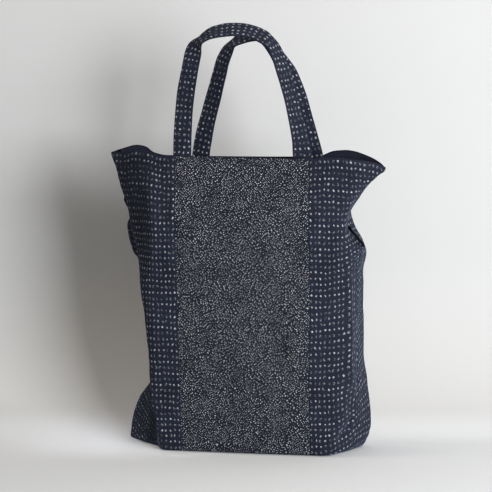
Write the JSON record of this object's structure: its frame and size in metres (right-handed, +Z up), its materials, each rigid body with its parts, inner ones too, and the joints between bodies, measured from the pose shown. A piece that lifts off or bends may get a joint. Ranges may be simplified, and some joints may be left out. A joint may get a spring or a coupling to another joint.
{
  "type": "cloth tote handbag",
  "caption": "Soft cloth tote handbag that stands on a sewn base, open at the top, with flared mouth corners, tucked side gussets and loop handles to carry it by.",
  "frame": {"origin": "middle of the whole bag's box, on the floor it stands on", "axes": "+Z up along the handles, X along the mouth with +X at the side tab, -Y out of the front"},
  "size_m": [0.3666, 0.0964, 0.5622],
  "materials": {
    "speckle_cloth": "matte woven navy cloth with a dense pale speckle",
    "dotted_cloth": "matte woven navy cloth with rows of small pale marks",
    "facing_cloth": "plain matte navy cloth",
    "tab_cloth": "plain woven tape, near black"
  },
  "bodies": {
    "root": {"front_centre_panel": "speckle_cloth", "back_centre_panel": "speckle_cloth", "front_left_panel": "dotted_cloth", "front_right_panel": "dotted_cloth", "back_left_panel": "dotted_cloth", "back_right_panel": "dotted_cloth", "base_panel": "dotted_cloth", "front_handle": "dotted_cloth", "back_handle": "dotted_cloth", "mouth_facing": "facing_cloth", "side_tab": "tab_cloth"}
  },
  "joints": []
}
